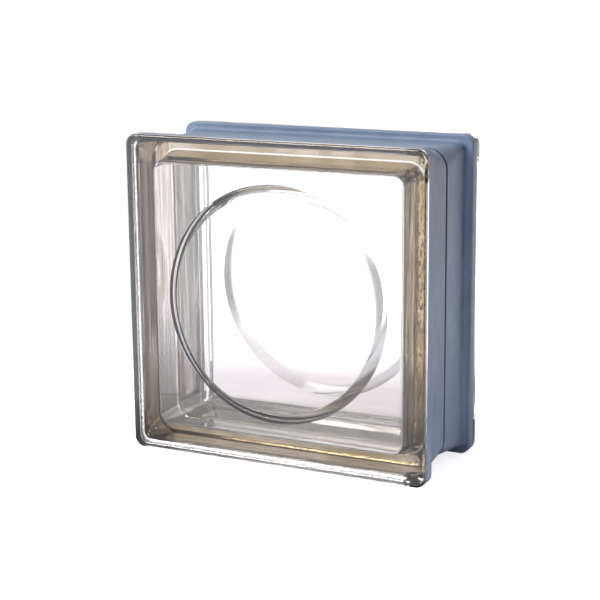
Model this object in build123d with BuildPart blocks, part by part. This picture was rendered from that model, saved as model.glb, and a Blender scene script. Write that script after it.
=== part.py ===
"""Square glass block: two pressed glass dishes welded mouth to mouth, painted round the edge.

The block stands on one edge, as it does in a wall. +X is its width and +Z its height, and
its front face looks towards -Y. The origin is on the floor, below the middle of the block.
"""

import os
from math import atan, cos, degrees, radians, sin, sqrt

from build123d import *

# Overall size
width = 190.0
height = 190.0
depth = 80.0

# The lip round each face
lip_thickness = 10.6
lip_corner_radius = 6.0
lip_back_bevel = 0.6
rim_radius = 1.8

# The channel between the two lips, which holds the mortar
channel_depth = 4.5
channel_corner_radius = 11.5
channel_foot_bevel = 1.6

# The weld at mid-depth, a bevel on the mouth of each dish, and the wall beside it
seam_bevel = 1.3
seam_wall = 6.0

# The hollow of each dish, drafted so that the plunger leaves it
face_thickness = 8.0
face_wall = 15.6
hollow_corner_radius = 6.0
hollow_fillet = 4.0

# The round relief pressed into the inner side of each face, with slopes in degrees
relief_diameter = 140.0
relief_side_width = 6.5
relief_foot_slope = 24.0
relief_rim_slope = 40.0

# The edge paint, and the glass left bare beside each face
coat_thickness = 0.3
bare_rim_front = 3.0
bare_rim_rear = 5.0

half_depth = depth / 2
hollow_depth = half_depth - face_thickness

# Planes across the block: this one is at the weld, and its offsets go towards the front.
weld_plane = Plane(origin=(0, 0, height / 2), x_dir=(1, 0, 0), z_dir=(0, -1, 0))
# The level plane through the middle of the faces, for profiles turned about their axis
level_plane = Plane.XY.offset(height / 2)
face_axis = Axis((0, 0, height / 2), (0, 1, 0))


def painted_form(bare_rim, skin):
    """The front half's outside from the weld to the bare rim, grown outwards by skin."""
    floor_inset = channel_depth + coat_thickness - skin
    lip_inset = coat_thickness - skin
    lip_back = half_depth - lip_thickness - skin
    lip_front = half_depth - bare_rim
    # A skin widens the bevel on an outer edge by this much and narrows one at an inner edge.
    bevel_change = skin * (2 - sqrt(2))

    with BuildPart() as form:
        with BuildSketch(weld_plane):
            RectangleRounded(
                width - 2 * floor_inset,
                height - 2 * floor_inset,
                channel_corner_radius + skin,
            )
        extrude(amount=lip_front)
        mouth = form.faces().sort_by(Axis.Y)[-1]
        chamfer(mouth.edges(), length=seam_bevel - skin * (sqrt(2) - 1))

        with BuildSketch(weld_plane.offset(lip_back)):
            RectangleRounded(
                width - 2 * lip_inset,
                height - 2 * lip_inset,
                lip_corner_radius + skin,
            )
        extrude(amount=lip_front - lip_back)
        shoulder = form.faces().filter_by(Axis.Y).sort_by(Axis.Y)[1]
        foot = shoulder.inner_wires()[0]
        chamfer(foot.edges(), length=channel_foot_bevel - bevel_change)
        shoulder = form.faces().filter_by(Axis.Y).sort_by(Axis.Y)[1]
        lip_edge = shoulder.outer_wire()
        chamfer(lip_edge.edges(), length=lip_back_bevel + bevel_change)
    return form.part


def pressed_dish(bare_rim):
    """One dish, its face towards -Y and its open mouth at the weld."""
    painted = painted_form(bare_rim, 0)

    mouth_inset = channel_depth + coat_thickness + seam_wall
    narrowing = face_wall - mouth_inset

    with BuildPart() as dish:
        add(painted)
        with BuildSketch(weld_plane.offset(half_depth - bare_rim)):
            RectangleRounded(width, height, lip_corner_radius + coat_thickness)
        extrude(amount=bare_rim)
        front_face = dish.faces().sort_by(Axis.Y)[0]
        fillet(front_face.edges(), radius=rim_radius)

        with BuildSketch(weld_plane):
            RectangleRounded(
                width - 2 * mouth_inset,
                height - 2 * mouth_inset,
                hollow_corner_radius + narrowing,
            )
        extrude(amount=hollow_depth, mode=Mode.SUBTRACT)
        hollow_walls = dish.faces(Select.LAST).filter_by(Axis.Y, reverse=True)
        draft_angle = degrees(atan(narrowing / hollow_depth))
        draft(hollow_walls, neutral_plane=weld_plane, angle=-draft_angle)
        hollow_end = dish.faces().filter_by(Axis.Y).sort_by(SortBy.AREA)[-2]
        fillet(hollow_end.edges(), radius=hollow_fillet)

        # A flat-bottomed recess whose dished side meets the floor and the face at crisp edges
        rim_radius_of_relief = relief_diameter / 2
        floor_radius = rim_radius_of_relief - relief_side_width
        foot_slope = radians(relief_foot_slope)
        rim_slope = radians(relief_rim_slope)
        side_radius = relief_side_width / (sin(rim_slope) - sin(foot_slope))
        relief_depth = side_radius * (cos(foot_slope) - cos(rim_slope))
        with BuildSketch(level_plane):
            with BuildLine():
                floor = Line(
                    (0, -hollow_depth - relief_depth),
                    (floor_radius, -hollow_depth - relief_depth),
                )
                side = RadiusArc(floor @ 1, (rim_radius_of_relief, -hollow_depth), -side_radius)
                bore = Line(side @ 1, (rim_radius_of_relief, 0))
                Polyline(bore @ 1, (0, 0), floor @ 0)
            make_face()
        revolve(axis=face_axis, mode=Mode.SUBTRACT)
    return dish.part


front_dish = pressed_dish(bare_rim_front)
rear_dish = pressed_dish(bare_rim_rear)

with BuildPart() as front_shell:
    add(front_dish)

with BuildPart() as rear_shell:
    mirror(rear_dish, about=Plane.XZ)

# The paint follows the lips and the channel, flush with the bare rims.
front_coat_form = painted_form(bare_rim_front, coat_thickness)
rear_coat_form = painted_form(bare_rim_rear, coat_thickness)
front_glass_form = painted_form(bare_rim_front, 0)
rear_glass_form = painted_form(bare_rim_rear, 0)

with BuildPart() as edge_coating:
    add(front_coat_form)
    mirror(rear_coat_form, about=Plane.XZ)
    add(front_glass_form, mode=Mode.SUBTRACT)
    mirror(rear_glass_form, about=Plane.XZ, mode=Mode.SUBTRACT)

os.makedirs("parts", exist_ok=True)
pieces = {
    "front_shell": front_shell,
    "rear_shell": rear_shell,
    "edge_coating": edge_coating,
}
for name, piece in pieces.items():
    piece.part.label = name
    export_step(piece.part, f"parts/{name}.step")
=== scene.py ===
"""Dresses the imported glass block: clear pressed glass, its edge film and paint, and a studio."""

from math import atan, cos, pi, radians, sin, sqrt

import bmesh
import bpy
from mathutils import Matrix, Vector


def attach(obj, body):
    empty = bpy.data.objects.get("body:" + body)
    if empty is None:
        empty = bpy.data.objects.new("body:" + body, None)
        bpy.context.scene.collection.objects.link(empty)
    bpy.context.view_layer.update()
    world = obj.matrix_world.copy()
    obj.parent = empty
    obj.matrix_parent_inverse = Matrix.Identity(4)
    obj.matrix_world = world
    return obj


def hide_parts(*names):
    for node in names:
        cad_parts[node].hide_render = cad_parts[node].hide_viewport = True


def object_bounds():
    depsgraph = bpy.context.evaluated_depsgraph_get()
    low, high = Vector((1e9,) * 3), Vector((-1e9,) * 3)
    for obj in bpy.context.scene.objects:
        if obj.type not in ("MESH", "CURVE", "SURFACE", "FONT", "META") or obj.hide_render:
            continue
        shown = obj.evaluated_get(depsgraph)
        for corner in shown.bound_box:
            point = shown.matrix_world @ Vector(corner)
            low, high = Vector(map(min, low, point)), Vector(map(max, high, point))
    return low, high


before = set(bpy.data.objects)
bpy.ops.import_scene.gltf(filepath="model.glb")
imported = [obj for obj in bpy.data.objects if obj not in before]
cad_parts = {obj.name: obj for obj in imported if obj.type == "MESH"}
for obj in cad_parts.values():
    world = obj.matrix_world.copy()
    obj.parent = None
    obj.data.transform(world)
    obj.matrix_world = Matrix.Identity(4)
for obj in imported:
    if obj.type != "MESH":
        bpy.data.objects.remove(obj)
cad_low, cad_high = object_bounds()

bl_info = {
    "name": "Glass Block",
    "version": (1, 0, 0),
    "blender": (4, 5, 0),
    "location": "View3D > Sidebar > Glass Block",
    "description": "Models a square glass block with round reliefs and a painted edge",
    "category": "Add Mesh",
}

MM = 0.001
# Less than any step of the model
HAIR = MM / 100
QUARTER = pi / 2

# Every section across the block is a ring of this many vertices, so that rings can be bridged.
CORNER_STEPS = 15
SIDE_CUTS = 16
RING_SIZE = 4 * (CORNER_STEPS + 1 + SIDE_CUTS)
RING_SPREAD = 10 * MM
FILLET_STEPS = 6
CHANNEL_STEPS = 4

# An edge that turns by more than this stays crisp.
CRISP = radians(32)

# The floor's radius, where it starts to fade, both in mm, and its own light
FLOOR_RADIUS = 360
FLOOR_FADE_START = 200
FLOOR_GLOW = 0.85

WHITE = (1, 1, 1, 1)

# The light tent round the block. Each panel has its angles across, from the backdrop's middle
# and positive to the right, and its angles up, both as (start, end, softness) in degrees.
TENT_DARK = (0.05, 0.05, 0.06, 1)
TENT_PANELS = (
    ((-75, 75, 30), (-60, -2, 5), (0.3, 0.3, 0.31, 1)),
    ((-110, 110, 40), (-2, 100, 5), (0.5, 0.5, 0.5, 1)),
    ((-60, 60, 10), (-2, 27, 6), (1.05, 1.05, 1.05, 1)),
    ((-23, 17, 4), (-90, 27, 6), (1.18, 1.18, 1.18, 1)),
    ((36, 80, 6), (5, 50, 10), (1.25, 1.25, 1.25, 1)),
    ((36, 80, 6), (-30, 5, 10), (2.0, 1.97, 1.93, 1)),
    ((-80, -40, 6), (-40, 50, 10), (0.9, 0.9, 0.9, 1)),
    ((-175, -85, 30), (-50, 20, 20), (2.5, 2.5, 2.65, 1)),
    ((-135, -85, 10), (32, 68, 6), (9.5, 9.5, 9.5, 1)),
)


def length(name, description, millimetres):
    """A length property, given in millimetres and kept in metres."""
    return bpy.props.FloatProperty(
        name=name, description=description, default=millimetres * MM, unit="LENGTH", precision=5
    )


def angle(name, description, degrees):
    """An angle property, given in degrees."""
    return bpy.props.FloatProperty(
        name=name, description=description, default=radians(degrees), subtype="ANGLE"
    )


def colour(name, description, hex_code):
    """A colour property, given as an sRGB hex value and kept linear."""
    return bpy.props.FloatVectorProperty(
        name=name, description=description, default=linear(hex_code), subtype="COLOR",
        size=4, min=0, max=1,
    )


def linear(hex_code):
    """The linear colour of an sRGB hex value."""
    shares = [int(hex_code[at:at + 2], 16) / 255 for at in (1, 3, 5)]
    return (*(s / 12.92 if s <= 0.04045 else ((s + 0.055) / 1.055) ** 2.4 for s in shares), 1)


class GlassBlockSizes(bpy.types.PropertyGroup):
    """The block's sizes that the modelling needs beside its width, height and depth."""

    lip_thickness: length("Lip thickness", "The lip round each face, along the depth", 10.6)
    lip_corner: length("Lip corner radius", "The lip's corners, seen from the front", 6.0)
    lip_back: length("Lip back radius", "The rounding of the lip's inner edge", 0.8)
    rim: length("Rim radius", "The rounding between a face and the lip's outside", 1.8)
    channel: length("Channel depth", "How far the mortar channel lies below the lips", 4.5)
    weld_corner: length("Weld corner radius", "The channel's corners beside the weld", 11.5)
    foot_corner: length("Foot corner radius", "The channel's corners at the foot of each lip", 4.0)
    channel_fillet: length("Channel fillet", "The hollow rounding at the foot of each lip", 2.6)
    seam_bevel: length("Seam bevel", "The bevel on the mouth of each dish", 1.3)
    seam_wall: length("Seam wall", "The wall beside the weld", 6.0)
    seam_bead: length("Seam bead", "How far the weld's bead stands into the hollow", 0.45)
    seam_bead_width: length("Seam bead width", "The width of the weld's bead", 3.6)
    weld_skin: length("Weld skin", "The thickness of the seedy skin inside the weld", 0.2)
    plate: length("Face thickness", "The glass between a face and the hollow", 8.0)
    face_wall: length("Face wall", "The wall where the hollow meets the plate", 15.6)
    hollow_corner: length("Hollow corner radius", "The hollow's corners at the plate", 6.0)
    hollow_fillet: length("Hollow fillet", "The rounding between the hollow's wall and plate", 2.0)
    relief: length("Relief radius", "The round relief inside each face", 70.0)
    relief_side: length("Relief side", "The width of the relief's curved side", 6.5)
    relief_foot_slope: angle("Relief foot slope", "The side's slope at the flat bottom", 24)
    relief_rim_slope: angle("Relief rim slope", "The side's slope at the relief's rim", 40)
    coat: length("Coat thickness", "The edge paint's thickness", 0.3)
    coat_gap: length("Coat gap", "The space that keeps paint and film apart in the mesh", 0.05)
    bare_front: length("Front bare rim", "The glass left bare beside the front face", 3.0)
    bare_rear: length("Rear bare rim", "The glass left bare beside the rear face", 5.0)


class GlassBlockColours(bpy.types.PropertyGroup):
    """The colours that a user would change."""

    glass: colour("Glass", "The glass itself", "#FDFDFC")
    weld: colour("Weld", "The weld's skin, seen against the light", "#CBBFB2")
    weld_streak: colour("Weld streaks", "The amber streaks in the weld's skin", "#A99A80")
    # Dark marbling: matt dark patches drawn in weld and film in the two right-hand corners.
    char: colour("Char", "Burnt marbling of weld and film at the corners", "#1E1812")
    gold: colour("Gold", "The film of the rear dish, browned to gold by the weld's heat", "#CBBFA3")
    seam: colour("Seam", "The film in the weld's bevels, bubbly and brown", "#5C4828")
    bubble: colour("Bubbles", "The bubbles in the seam's film", "#96876E")
    film: colour("Film", "The metallic film, seen through the glass", "#CBC2BC")
    film_streak: colour("Film streaks", "The thin parts of the film, over the paint", "#7C726A")
    # Film edge is a painted dark reflection of the dark studio, laid on the lips' outside.
    film_edge_shade: colour("Film edge", "The film on the lips' outside, dirty and dark", "#3A3638")
    clean_film: colour("Clean film", "The thick film on the back of the front lip", "#E4E1DF")
    paint: colour("Paint", "The edge paint, seen from outside", "#6A7991")
    thin_paint: colour("Thin paint", "The edge paint where it is thin", "#768499")
    # The crease colour is painted shade: it darkens the paint in the weld's crease.
    crease_shade: colour("Crease", "The paint where dust settles, in the weld's crease", "#3E465A")
    floor: colour("Floor", "The floor under the block", "#F4F4F6")
    # The near, dark and side floor colours are painted shade, the block's shadow on the floor as the
    # glass shows it.
    near_floor_shade: colour("Near floor", "The floor behind the block, as the glass shows it", "#ABA5AA")
    dark_floor: colour("Dark floor", "The floor in the block's own shade", "#5E5855")
    side_floor_shade: colour("Side floor", "The floor beside that, as the glass shows it", "#9C9AA0")


class GlassBlockCamera(bpy.types.PropertyGroup):
    """Where the camera stands."""

    azimuth: angle("Azimuth", "Round the block, from straight in front", 26.76)
    elevation: angle("Elevation", "Above the horizon", 12.66)
    roll: angle("Roll", "About the line of sight", -0.52)
    distance: length("Distance", "From the point that the camera looks at", 955.8)
    aim_x: length("Aim X", "The point that the camera looks at, across the block", -1.7)
    aim_z: length("Aim Z", "The point that the camera looks at, above the floor", 91.2)
    lens: bpy.props.FloatProperty(
        name="Lens", description="Focal length in millimetres", default=96.93, unit="CAMERA"
    )


# The sections across the block


def lip_half():
    """Half of the block's width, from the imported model."""
    return (cad_high.x - cad_low.x) / 2


def half_depth():
    """Half of the block's depth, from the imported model."""
    return (cad_high.y - cad_low.y) / 2


def middle():
    """The middle of the block."""
    return (cad_high + cad_low) / 2


def arc(steps, start, end):
    """Angles in equal steps from start to end, both included."""
    return [start + (end - start) * n / steps for n in range(steps + 1)]


def painted_sections(sizes, bare_rim, skin):
    """(distance from the weld, inset, corner radius) from the bare rim to the weld.

    The sections follow the glass under the paint, grown outwards by skin.
    """
    top = sizes.coat - skin
    floor = sizes.coat + sizes.channel - skin
    back = half_depth() - sizes.lip_thickness - skin
    convex = sizes.lip_back + skin
    concave = sizes.channel_fillet - skin
    bevel = sizes.seam_bevel - skin * (sqrt(2) - 1)
    lip_corner = sizes.lip_corner + skin
    foot_corner = sizes.foot_corner + skin
    weld_corner = sizes.weld_corner + skin

    sections = [(half_depth() - bare_rim, top, lip_corner)]
    for turn in arc(FILLET_STEPS, 0, QUARTER):
        inset = top + convex * (1 - cos(turn))
        sections.append((back + convex * (1 - sin(turn)), inset, lip_corner - inset + top))
    for turn in arc(FILLET_STEPS, 0, QUARTER):
        inset = floor - concave * (1 - sin(turn))
        sections.append((back - concave * (1 - cos(turn)), inset, foot_corner + floor - inset))

    # The channel's corners open out evenly from the foot of the lip to the weld.
    foot = back - concave
    for step in range(1, CHANNEL_STEPS + 1):
        share = step / CHANNEL_STEPS
        corner = foot_corner + (weld_corner - foot_corner) * share
        sections.append((foot + (bevel - foot) * share, floor, corner))
    sections.append((0, floor + bevel, weld_corner - bevel))
    return sections


def rim_sections(sizes, bare_rim):
    """The sections from the edge of the face round the rim and along the bare glass."""
    corner = sizes.lip_corner + sizes.coat
    sections = []
    for turn in arc(FILLET_STEPS, 0, QUARTER):
        inset = sizes.rim * (1 - sin(turn))
        sections.append((half_depth() - sizes.rim * (1 - cos(turn)), inset, corner - inset))
    sections.append((half_depth() - bare_rim, 0, corner))
    return sections


def hollow_sections(sizes):
    """The sections of half of the hollow, from the plate to the weld."""
    end = half_depth() - sizes.plate
    mouth_inset = sizes.coat + sizes.channel + sizes.seam_wall
    slope = (sizes.face_wall - mouth_inset) / end
    draft = atan(slope)
    corner_centre = sizes.face_wall + sizes.hollow_corner

    # The rounding touches the plate and the drafted wall.
    fillet_out = end - sizes.hollow_fillet
    fillet_inset = mouth_inset + slope * fillet_out + sizes.hollow_fillet / cos(draft)
    sections = []
    for turn in arc(FILLET_STEPS, 0, QUARTER - draft):
        inset = fillet_inset - sizes.hollow_fillet * sin(turn)
        sections.append((fillet_out + sizes.hollow_fillet * cos(turn), inset, corner_centre - inset))

    # The weld's bead swells out of the wall in half a cosine wave.
    for step in range(FILLET_STEPS + 1):
        share = step / FILLET_STEPS
        out = sizes.seam_bead_width / 2 * (1 - share)
        inset = mouth_inset + slope * out + sizes.seam_bead * (1 - cos(pi * share)) / 2
        sections.append((out, inset, corner_centre - inset))
    return sections


def weld_rings(sizes):
    """The rings of the seedy skin between the dishes, from the film to the hollow and back."""
    outer = sizes.coat + sizes.channel + sizes.seam_bevel + sizes.coat_gap
    inner = sizes.coat + sizes.channel + sizes.seam_wall - sizes.seam_bead - sizes.coat_gap
    mouth_corner = sizes.face_wall + sizes.hollow_corner - inner
    corners = {outer: sizes.weld_corner - sizes.seam_bevel, inner: mouth_corner}
    half = sizes.weld_skin / 2
    return [(y, inset, corners[inset]) for y, inset in (
        (-half, outer), (-half, inner), (half, inner), (half, outer)
    )]


def relief_rings(sizes):
    """(distance from the weld, radius) of the relief's side, from its flat bottom to its rim."""
    end = half_depth() - sizes.plate
    arc_radius = sizes.relief_side / (sin(sizes.relief_rim_slope) - sin(sizes.relief_foot_slope))
    depth = arc_radius * (cos(sizes.relief_foot_slope) - cos(sizes.relief_rim_slope))
    rings = []
    for slope in arc(2 * FILLET_STEPS, sizes.relief_foot_slope, sizes.relief_rim_slope):
        drop = arc_radius * (cos(sizes.relief_foot_slope) - cos(slope))
        reach = arc_radius * (sin(slope) - sin(sizes.relief_foot_slope))
        rings.append((end + depth - drop, sizes.relief - sizes.relief_side + reach))
    return rings


def both_halves(front, rear):
    """Front and rear sections as one run of (y, inset, corner radius), the weld only once."""
    run = [(-out, inset, corner) for out, inset, corner in front]
    run += [(out, inset, corner) for out, inset, corner in reversed(rear[:-1])]
    return run


# Modelling helpers, all in edit mode


def start_mesh(name):
    """A new, empty mesh object in edit mode."""
    bpy.ops.object.select_all(action="DESELECT")
    bpy.ops.mesh.primitive_plane_add(size=MM)
    made = bpy.context.object
    made.name = made.data.name = name
    bpy.ops.object.mode_set(mode="EDIT")
    bpy.ops.mesh.select_mode(type="VERT")
    bpy.ops.mesh.delete(type="VERT")
    return made


def square_ring(place, inset, corner):
    """Adds one rounded square of edges across the block, at a place along Y."""
    bpy.ops.mesh.primitive_plane_add(
        size=2 * (lip_half() - inset), location=(0, place, middle().z), rotation=(QUARTER, 0, 0)
    )
    bpy.ops.mesh.bevel(
        offset=corner, segments=CORNER_STEPS, affect="VERTICES", profile=0.5, clamp_overlap=False
    )
    edit = bmesh.from_edit_mesh(bpy.context.object.data)
    ring = sorted((edge for edge in edit.edges if edge.select), key=lambda edge: edge.calc_length())
    bpy.ops.mesh.select_all(action="DESELECT")
    for side in ring[-4:]:
        side.select_set(True)
    bpy.ops.mesh.subdivide(number_cuts=SIDE_CUTS)


def round_ring(place, radius):
    """Adds one circle of edges across the block, at a place along Y."""
    bpy.ops.mesh.primitive_circle_add(
        vertices=RING_SIZE, radius=radius, location=(0, place, middle().z), rotation=(QUARTER, 0, 0)
    )


def select_rings(mesh, *rings):
    """Selects rings by their place in the order in which they were added."""
    bpy.ops.mesh.select_all(action="DESELECT")
    edit = bmesh.from_edit_mesh(mesh)
    edit.verts.ensure_lookup_table()
    for ring in set(rings):
        for vertex in edit.verts[ring * RING_SIZE:(ring + 1) * RING_SIZE]:
            vertex.select_set(True)
    edit.select_flush(True)


def skin_rings(made, rings, closed=False):
    """Skins a run of rings, each (y, inset, corner radius) or (y, radius).

    The rings are drawn well apart, because two that lie in one plane don't bridge, and they
    slide to their own y once they are joined. A closed run joins its last ring to its first,
    and any other is capped at both ends.
    """
    mesh = made.data
    for number, (_, *shape) in enumerate(rings):
        bpy.ops.mesh.select_all(action="DESELECT")
        draw = square_ring if len(shape) == 2 else round_ring
        draw(number * RING_SPREAD, *shape)
    bpy.ops.mesh.select_all(action="SELECT")
    bpy.ops.mesh.delete(type="ONLY_FACE")

    for number in range(len(rings) - 1):
        select_rings(mesh, number, number + 1)
        bpy.ops.mesh.bridge_edge_loops()
    if closed:
        select_rings(mesh, len(rings) - 1, 0)
        bpy.ops.mesh.bridge_edge_loops()
    else:
        for end in (0, len(rings) - 1):
            select_rings(mesh, end)
            bpy.ops.mesh.edge_face_add()

    for number, (y, *_) in enumerate(rings):
        select_rings(mesh, number)
        bpy.ops.transform.translate(value=(0, y - number * RING_SPREAD, 0))


def finish_mesh(inside=False):
    """Turns the faces the right way and leaves edit mode."""
    bpy.ops.mesh.select_all(action="SELECT")
    bpy.ops.mesh.normals_make_consistent(inside=inside)
    bpy.ops.object.mode_set(mode="OBJECT")


def smooth(made):
    """Smooth shading that keeps crisp edges crisp and flat faces flat."""
    bpy.ops.object.select_all(action="DESELECT")
    made.select_set(True)
    bpy.context.view_layer.objects.active = made
    bpy.ops.object.shade_smooth_by_angle(angle=CRISP)
    weighted = made.modifiers.new("flat faces", "WEIGHTED_NORMAL")
    weighted.keep_sharp = True
    weighted.weight = 100
    bpy.ops.object.modifier_apply(modifier=weighted.name)


# Materials

# The patterns' cells in mm, across, along the depth and up the height. Real seeds, grains,
# blisters and bubbles are finer, and are drawn this coarse so that they show.
MOULD_WAVES = (28, 28, 28)
WELD_STREAKS = (30, 1, 30)
WELD_SEEDS = (1.2, 1.2, 1.2)
BURNT_PATCHES = (4, 4, 4)
FILM_STREAKS = (45, 1.6, 45)
FILM_GRAINS = (1.1, 1.1, 1.1)
FILM_BLISTERS = (1.4, 1.4, 2.4)
SEAM_BUBBLES = (0.9, 0.9, 0.9)
ORANGE_PEEL = (1.6, 1.6, 1.6)
THIN_PATCHES = (14, 5, 14)

# How deep the patterns dent their surface
MOULD_DENT = 0.02 * MM
STREAK_DENT = 0.015 * MM
GRAIN_DENT = 0.12 * MM
PEEL_DENT = 0.02 * MM

# Where the browning of the film by the weld's heat sets in, in mm across from the middle
HEATED = (-84, -74)


def add_node(tree, kind, inputs=None, **settings):
    """Adds one node with its settings.

    An input is a value, the socket that feeds it, or a node whose first output in use does.
    """
    made = tree.nodes.new(kind)
    for name, value in settings.items():
        setattr(made, name, value)
    for name, value in (inputs or {}).items():
        if isinstance(value, bpy.types.Node):
            value = next(socket for socket in value.outputs if socket.enabled)
        if isinstance(value, bpy.types.NodeSocket):
            tree.links.new(value, made.inputs[name])
        else:
            made.inputs[name].default_value = value
    return made


def new_material(name):
    """An empty material and its tree."""
    made = bpy.data.materials.new(name)
    made.use_nodes = True
    made.node_tree.nodes.clear()
    return made, made.node_tree


def grain(tree, cell, low, high, detail=2):
    """Noise cut between low and high to run from nought to one. Its cells are given in mm."""
    place = add_node(tree, "ShaderNodeTexCoord").outputs["Object"]
    cells = add_node(tree, "ShaderNodeVectorMath", {
        0: place, 1: [1 / (size * MM) for size in cell]
    }, operation="MULTIPLY")
    noise = add_node(tree, "ShaderNodeTexNoise", {"Vector": cells, "Scale": 1, "Detail": detail})
    return add_node(tree, "ShaderNodeMapRange", {
        "Value": noise, "From Min": low, "From Max": high
    }, interpolation_type="SMOOTHSTEP")


def zone(tree, *spans, pattern=None):
    """One where every length has passed its span, and nought where one hasn't, softly.

    A span is (length, start, end), with its ends in mm, and may run up or down. A pattern
    breaks the zone up.
    """
    share = pattern
    for distance, start, end in spans:
        passed = add_node(tree, "ShaderNodeMapRange", {
            "Value": distance, "From Min": start * MM, "From Max": end * MM
        }, interpolation_type="SMOOTHSTEP")
        if share is not None:
            passed = add_node(tree, "ShaderNodeMath", {0: share, 1: passed}, operation="MULTIPLY")
        share = passed
    return share


def layered(tree, tone, *layers):
    """A colour under layers of others, each (share, colour), with the last on top."""
    for share, cover in layers:
        tone = add_node(
            tree, "ShaderNodeMix", {"Factor": share, "A": tone, "B": cover}, data_type="RGBA"
        )
    return tone


def distances(tree):
    """The X, Y and Z distances from the middle of the block, with their signs and without."""
    place = add_node(tree, "ShaderNodeTexCoord").outputs["Object"]
    signed = add_node(tree, "ShaderNodeVectorMath", {0: place, 1: middle()}, operation="SUBTRACT")
    plain = add_node(tree, "ShaderNodeVectorMath", {0: signed}, operation="ABSOLUTE")
    return [add_node(tree, "ShaderNodeSeparateXYZ", {0: way}).outputs for way in (signed, plain)]


def dark_right_corners(tree):
    """One in marbled patches in the two right-hand corners, where weld and film are drawn dark."""
    signed, plain = distances(tree)
    least = add_node(tree, "ShaderNodeMath", {0: signed["X"], 1: plain["Z"]}, operation="MINIMUM")
    return zone(tree, (least, 78, 82), pattern=grain(tree, BURNT_PATCHES, 0.44, 0.5))


def pressed_soda_lime_glass(colours):
    """Soda-lime glass, pressed in a mould: clear and smooth, very slightly wavy."""
    made, tree = new_material("pressed soda-lime glass")
    waves = grain(tree, MOULD_WAVES, 0, 1, detail=1)
    wavy = add_node(
        tree, "ShaderNodeBump", {"Height": waves, "Strength": 1, "Distance": MOULD_DENT}
    )
    shader = add_node(tree, "ShaderNodeBsdfPrincipled", {
        "Base Color": colours.glass, "Transmission Weight": 1, "Roughness": 0, "IOR": 1.52,
        "Normal": wavy,
    })
    add_node(tree, "ShaderNodeOutputMaterial", {"Surface": shader})
    return made


def seedy_weld(colours):
    """Where the hot mouths were pressed together: amber glass, streaky and full of seeds.

    The skin lies inside the glass, so it tints and blurs the light but doesn't bend it.
    """
    made, tree = new_material("seedy weld glass")
    tone = layered(
        tree, colours.weld,
        (grain(tree, WELD_STREAKS, 0.4, 0.6), colours.weld_streak),
        (grain(tree, WELD_SEEDS, 0.5, 0.7), colours.weld_streak),
        (dark_right_corners(tree), colours.char),
    )
    shader = add_node(tree, "ShaderNodeBsdfPrincipled", {
        "Base Color": tone, "Transmission Weight": 1, "Roughness": 0.15, "IOR": 1.0,
    })
    add_node(tree, "ShaderNodeOutputMaterial", {"Surface": shader})
    return made


def sprayed_metal_film(colours):
    """The sprayed film under the paint: seen through the glass it mirrors softly, like tin.

    Streaks run round the block where the film is thin, and coarse grains roughen it on the
    lips. In marbled patches in the right-hand corners beside the lips, it is matt and black.
    """
    made, tree = new_material("sprayed metal film")
    signed, plain = distances(tree)
    streaks = grain(tree, FILM_STREAKS, 0.38, 0.66, detail=3)
    on_lips = zone(tree, (plain["Y"], 27, 31), pattern=grain(tree, FILM_GRAINS, 0.4, 0.6))

    # The front lip's back is thick and bright but at the top. At the top and on the lip's outside,
    # the film is painted dark, a painted reflection of the dark studio.
    lip_back = zone(tree, (signed["Y"], -28.6, -29.2), (signed["Y"], -30.4, -29.8))
    lip_outside = zone(tree, (signed["Y"], -29.8, -30.4))
    clean = layered(
        tree, colours.clean_film, (zone(tree, (signed["Z"], 88, 91)), colours.film_edge_shade)
    )

    # The weld's heat browned the rear dish's film, but not at the left, and at the bottom
    # only close behind the weld. At the right the film is blistered too.
    above = zone(tree, (signed["Z"], -85, -70), (signed["Y"], 0, 2))
    below = zone(tree, (signed["Z"], -84, -88), (signed["Y"], -2, 0), (signed["Y"], 14, 8))
    either = add_node(tree, "ShaderNodeMath", {0: above, 1: below}, operation="MAXIMUM")
    browned = zone(tree, (signed["X"], *HEATED), pattern=either)
    blistered = zone(tree, (signed["X"], 80, 86), pattern=grain(tree, FILM_BLISTERS, 0.5, 0.6))
    gold = layered(tree, colours.gold, (blistered, colours.seam))

    seam = zone(tree, (signed["X"], *HEATED), (plain["Y"], 1.8, 1.2))
    bubbly = layered(
        tree, colours.seam, (grain(tree, SEAM_BUBBLES, 0.45, 0.6), colours.bubble)
    )
    tone = layered(
        tree, colours.film,
        (streaks, colours.film_streak),
        (lip_back, clean),
        (lip_outside, colours.film_edge_shade),
        (browned, gold),
        (seam, bubbly),
    )
    streaky = add_node(
        tree, "ShaderNodeBump", {"Height": streaks, "Strength": 1, "Distance": STREAK_DENT}
    )
    rough = add_node(tree, "ShaderNodeBump", {
        "Height": on_lips, "Strength": 1, "Distance": GRAIN_DENT, "Normal": streaky
    })
    metal = add_node(tree, "ShaderNodeBsdfPrincipled", {
        "Base Color": tone, "Metallic": 1, "Roughness": 0.15, "Normal": rough,
    })
    # Matt dark patches in the right-hand corners beside the lips
    char = add_node(tree, "ShaderNodeBsdfDiffuse", {"Color": colours.char})
    darkened = zone(tree, (plain["Y"], 16, 20), pattern=dark_right_corners(tree))
    patched = add_node(tree, "ShaderNodeMixShader", {0: darkened, 1: metal, 2: char})
    add_node(tree, "ShaderNodeOutputMaterial", {"Surface": patched})
    return made


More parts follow.
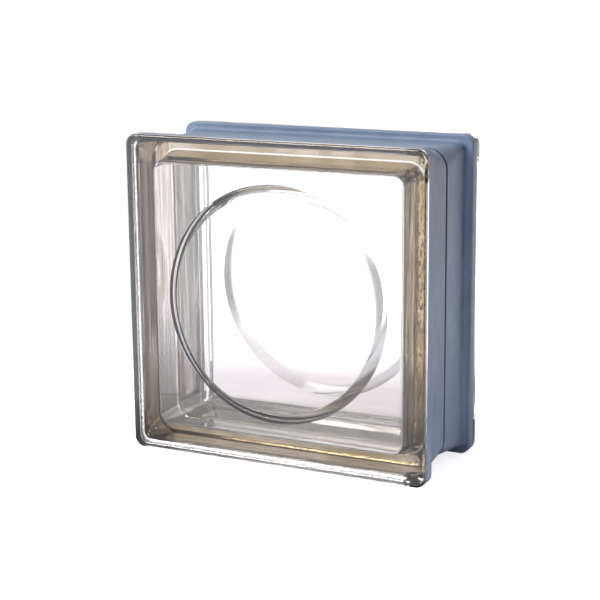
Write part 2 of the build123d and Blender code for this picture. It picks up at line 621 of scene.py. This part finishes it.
def sprayed_edge_paint(colours):
    """Two-pack edge paint, sprayed: satin, with a fine orange peel and uneven in thickness."""
    made, tree = new_material("sprayed edge paint")
    _, plain = distances(tree)
    tone = layered(
        tree, colours.paint,
        (grain(tree, THIN_PATCHES, 0.3, 0.8), colours.thin_paint),
        # Painted shade: the paint is drawn darker in the weld's crease.
        (zone(tree, (plain["Y"], 1.7, 0.6)), colours.crease_shade),
    )
    peel = grain(tree, ORANGE_PEEL, 0.2, 0.8)
    dented = add_node(
        tree, "ShaderNodeBump", {"Height": peel, "Strength": 1, "Distance": PEEL_DENT}
    )
    shader = add_node(tree, "ShaderNodeBsdfPrincipled", {
        "Base Color": tone, "Roughness": 0.45, "Specular IOR Level": 0.25, "Normal": dented,
    })
    add_node(tree, "ShaderNodeOutputMaterial", {"Surface": shader})
    return made


def pale_board(colours, away, across):
    """A painted board, matt: white to the camera, but for the block's shadow.

    Through the glass it shows painted shade: a soft lavender grey, dark under the block and
    close behind it, greyer at the sides and white further off. It fades out at its edge.
    """
    made, tree = new_material("pale painted board")
    place = add_node(tree, "ShaderNodeTexCoord").outputs["Object"]
    behind = add_node(tree, "ShaderNodeVectorMath", {0: place, 1: away}, operation="DOT_PRODUCT")
    beside = add_node(tree, "ShaderNodeVectorMath", {0: place, 1: across}, operation="DOT_PRODUCT")
    off_side = add_node(tree, "ShaderNodeMath", {0: beside}, operation="ABSOLUTE")
    reach = add_node(tree, "ShaderNodeVectorMath", {0: place}, operation="LENGTH")

    far = zone(tree, (behind, 150, 330))
    in_front = zone(tree, (behind, 20, -60))
    white = add_node(tree, "ShaderNodeMath", {0: far, 1: in_front}, operation="MAXIMUM")

    # How far a place lies outside the block's footprint, by the larger of X and Y
    plain = add_node(tree, "ShaderNodeVectorMath", {0: place}, operation="ABSOLUTE")
    outside = add_node(tree, "ShaderNodeVectorMath", {
        0: plain, 1: (cad_high.x, cad_high.y, 0)
    }, operation="SUBTRACT")
    axes = add_node(tree, "ShaderNodeSeparateXYZ", {0: outside}).outputs
    overhang = add_node(tree, "ShaderNodeMath", {0: axes["X"], 1: axes["Y"]}, operation="MAXIMUM")
    # Painted shade, dark close behind the block and under it
    close = zone(tree, (behind, 80, 50), (behind, -20, 20))
    under = zone(tree, (overhang, 3, 0))
    shaded = add_node(tree, "ShaderNodeMath", {0: close, 1: under}, operation="MAXIMUM")

    # The greys are painted shade, seen only by rays that don't come straight from the camera.
    rays = add_node(tree, "ShaderNodeLightPath")
    tone = layered(
        tree, colours.near_floor_shade,
        (white, colours.floor),
        (shaded, colours.dark_floor),
        (zone(tree, (off_side, 85, 125), (behind, -60, 0)), colours.side_floor_shade),
        (rays.outputs["Is Camera Ray"], colours.floor),
    )
    matt = add_node(tree, "ShaderNodeBsdfDiffuse", {"Color": tone})
    glow = add_node(tree, "ShaderNodeEmission", {"Color": tone, "Strength": FLOOR_GLOW})
    both = add_node(tree, "ShaderNodeAddShader", {0: matt, 1: glow})
    clear = add_node(tree, "ShaderNodeBsdfTransparent")
    faded = zone(tree, (reach, FLOOR_FADE_START, FLOOR_RADIUS))
    board = add_node(tree, "ShaderNodeMixShader", {0: faded, 1: both, 2: clear})
    add_node(tree, "ShaderNodeOutputMaterial", {"Surface": board})
    return made


def between(tree, turn, start, end, soft):
    """One between two angles in degrees and nought outside, with soft edges."""
    centre, half = radians((start + end) / 2), radians((end - start) / 2)
    off = add_node(tree, "ShaderNodeMath", {0: turn, 1: centre}, operation="SUBTRACT")
    size = add_node(tree, "ShaderNodeMath", {0: off}, operation="ABSOLUTE")
    return add_node(tree, "ShaderNodeMapRange", {
        "Value": size, "From Min": half + radians(soft) / 2, "From Max": half - radians(soft) / 2
    }, interpolation_type="SMOOTHSTEP")


# The pieces


class GLASSBLOCK_OT_body(bpy.types.Operator):
    """Models the glass: two dishes that are one body once welded, with a hollow inside"""

    bl_idname = "glassblock.body"
    bl_label = "Glass body"

    def execute(self, context):
        sizes = context.scene.glass_block_sizes
        colours = context.scene.glass_block_colours

        body = start_mesh("glass_body")
        halves = [
            rim_sections(sizes, bare) + painted_sections(sizes, bare, 0)
            for bare in (sizes.bare_front, sizes.bare_rear)
        ]
        skin_rings(body, both_halves(*halves))
        finish_mesh()

        hollow = start_mesh("hollow")
        half = hollow_sections(sizes)
        relief = relief_rings(sizes)
        front_relief = [(-out, radius) for out, radius in relief]
        rear_relief = [(out, radius) for out, radius in reversed(relief)]
        skin_rings(hollow, front_relief + both_halves(half, half) + rear_relief)
        finish_mesh(inside=True)

        weld = start_mesh("weld")
        skin_rings(weld, weld_rings(sizes), closed=True)
        finish_mesh()

        body.data.materials.append(pressed_soda_lime_glass(colours))
        body.data.materials.append(sprayed_metal_film(colours))
        hollow.data.materials.append(body.data.materials[0])
        weld.data.materials.append(seedy_weld(colours))
        film_front = cad_low.y + sizes.bare_front - HAIR
        film_rear = cad_high.y - sizes.bare_rear + HAIR
        for face in body.data.polygons:
            if film_front < face.center.y < film_rear:
                face.material_index = 1

        bpy.ops.object.select_all(action="DESELECT")
        for part in (weld, hollow, body):
            part.select_set(True)
        context.view_layer.objects.active = body
        bpy.ops.object.join()
        smooth(body)

        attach(body, "root")
        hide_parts("front_shell", "rear_shell")
        return {"FINISHED"}


class GLASSBLOCK_OT_coating(bpy.types.Operator):
    """Models the paint over the lips and the mortar channel"""

    bl_idname = "glassblock.coating"
    bl_label = "Edge coating"

    def execute(self, context):
        sizes = context.scene.glass_block_sizes
        colours = context.scene.glass_block_colours

        coating = start_mesh("edge_paint_skin")
        outside = [
            painted_sections(sizes, bare, sizes.coat)
            for bare in (sizes.bare_front, sizes.bare_rear)
        ]
        inside = [
            painted_sections(sizes, bare, sizes.coat_gap)
            for bare in (sizes.bare_front, sizes.bare_rear)
        ]
        skin_rings(coating, both_halves(*outside) + both_halves(*inside)[::-1], closed=True)
        finish_mesh()
        coating.data.materials.append(sprayed_edge_paint(colours))
        smooth(coating)

        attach(coating, "root")
        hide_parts("edge_coating")
        return {"FINISHED"}


class GLASSBLOCK_OT_stage(bpy.types.Operator):
    """Sets the floor, the light and the camera"""

    bl_idname = "glassblock.stage"
    bl_label = "Stage"

    def execute(self, context):
        self.add_camera(context)
        self.add_floor(context)
        self.light_world(context)
        return {"FINISHED"}

    def add_camera(self, context):
        seen_from = context.scene.glass_block_camera
        turn, rise, roll = seen_from.azimuth, seen_from.elevation, seen_from.roll
        back = Vector((sin(turn) * cos(rise), -cos(turn) * cos(rise), sin(rise)))
        right = Vector((cos(turn), sin(turn), 0))
        up = back.cross(right)
        right, up = cos(roll) * right + sin(roll) * up, cos(roll) * up - sin(roll) * right
        aim = Vector((seen_from.aim_x, 0, seen_from.aim_z))

        bpy.ops.object.camera_add(location=aim + back * seen_from.distance)
        camera = context.object
        camera.rotation_euler = Matrix((right, up, back)).transposed().to_euler()
        camera.data.lens = seen_from.lens
        camera.data.sensor_width = 36
        context.scene.camera = camera

    def add_floor(self, context):
        bpy.ops.mesh.primitive_circle_add(
            vertices=96, radius=FLOOR_RADIUS * MM, fill_type="NGON", location=(0, 0, cad_low.z)
        )
        floor = context.object
        floor.name = floor.data.name = "floor"
        turn = context.scene.glass_block_camera.azimuth
        away = (-sin(turn), cos(turn), 0)
        across = (cos(turn), sin(turn), 0)
        floor.data.materials.append(pale_board(context.scene.glass_block_colours, away, across))

    def light_world(self, context):
        world = bpy.data.worlds.new("light tent")
        world.use_nodes = True
        context.scene.world = world
        tree = world.node_tree
        tree.nodes.clear()
        way = add_node(tree, "ShaderNodeTexCoord").outputs["Generated"]
        seen_from = context.scene.glass_block_camera
        turned = add_node(tree, "ShaderNodeMapping", {
            "Vector": way, "Rotation": (0, 0, -seen_from.azimuth)
        }, vector_type="POINT")
        axes = add_node(tree, "ShaderNodeSeparateXYZ", {"Vector": turned}).outputs
        sideways = add_node(
            tree, "ShaderNodeMath", {0: axes["X"], 1: axes["Y"]}, operation="ARCTAN2"
        )
        upwards = add_node(tree, "ShaderNodeMath", {0: axes["Z"]}, operation="ARCSINE")

        panels = []
        for across, up, light in TENT_PANELS:
            share = add_node(tree, "ShaderNodeMath", {
                0: between(tree, sideways, *across), 1: between(tree, upwards, *up)
            }, operation="MULTIPLY")
            panels.append((share, light))
        rays = add_node(tree, "ShaderNodeLightPath")
        seen = layered(tree, TENT_DARK, *panels, (rays.outputs["Is Camera Ray"], WHITE))
        tent = add_node(tree, "ShaderNodeBackground", {"Color": seen, "Strength": 1})
        add_node(tree, "ShaderNodeOutputWorld", {"Surface": tent})


class VIEW3D_PT_glass_block(bpy.types.Panel):
    """Lists the sizes and colours, and a button for each piece"""

    bl_label = "Glass Block"
    bl_space_type = "VIEW_3D"
    bl_region_type = "UI"
    bl_category = "Glass Block"

    def draw(self, context):
        for group in GROUPS:
            values = getattr(context.scene, group)
            for name in values.__annotations__:
                self.layout.prop(values, name)
        for operator in OPERATORS:
            self.layout.operator(operator.bl_idname)


OPERATORS = (GLASSBLOCK_OT_body, GLASSBLOCK_OT_coating, GLASSBLOCK_OT_stage)
GROUPS = {
    "glass_block_sizes": GlassBlockSizes,
    "glass_block_colours": GlassBlockColours,
    "glass_block_camera": GlassBlockCamera,
}


def register():
    for group in GROUPS.values():
        bpy.utils.register_class(group)
    for name, group in GROUPS.items():
        setattr(bpy.types.Scene, name, bpy.props.PointerProperty(type=group))
    for kind in (*OPERATORS, VIEW3D_PT_glass_block):
        bpy.utils.register_class(kind)


def unregister():
    for kind in (VIEW3D_PT_glass_block, *reversed(OPERATORS)):
        bpy.utils.unregister_class(kind)
    for name, group in GROUPS.items():
        delattr(bpy.types.Scene, name)
        bpy.utils.unregister_class(group)


def main():
    register()
    scene = bpy.context.scene
    scene.view_settings.view_transform = "Standard"

    # Light crosses many faces of glass, and is mirrored between them, before it gets out.
    scene.cycles.max_bounces = 24
    scene.cycles.glossy_bounces = 16
    scene.cycles.transmission_bounces = 24

    bpy.ops.glassblock.body()
    bpy.ops.glassblock.coating()
    bpy.ops.glassblock.stage()


if __name__ == "__main__":
    main()
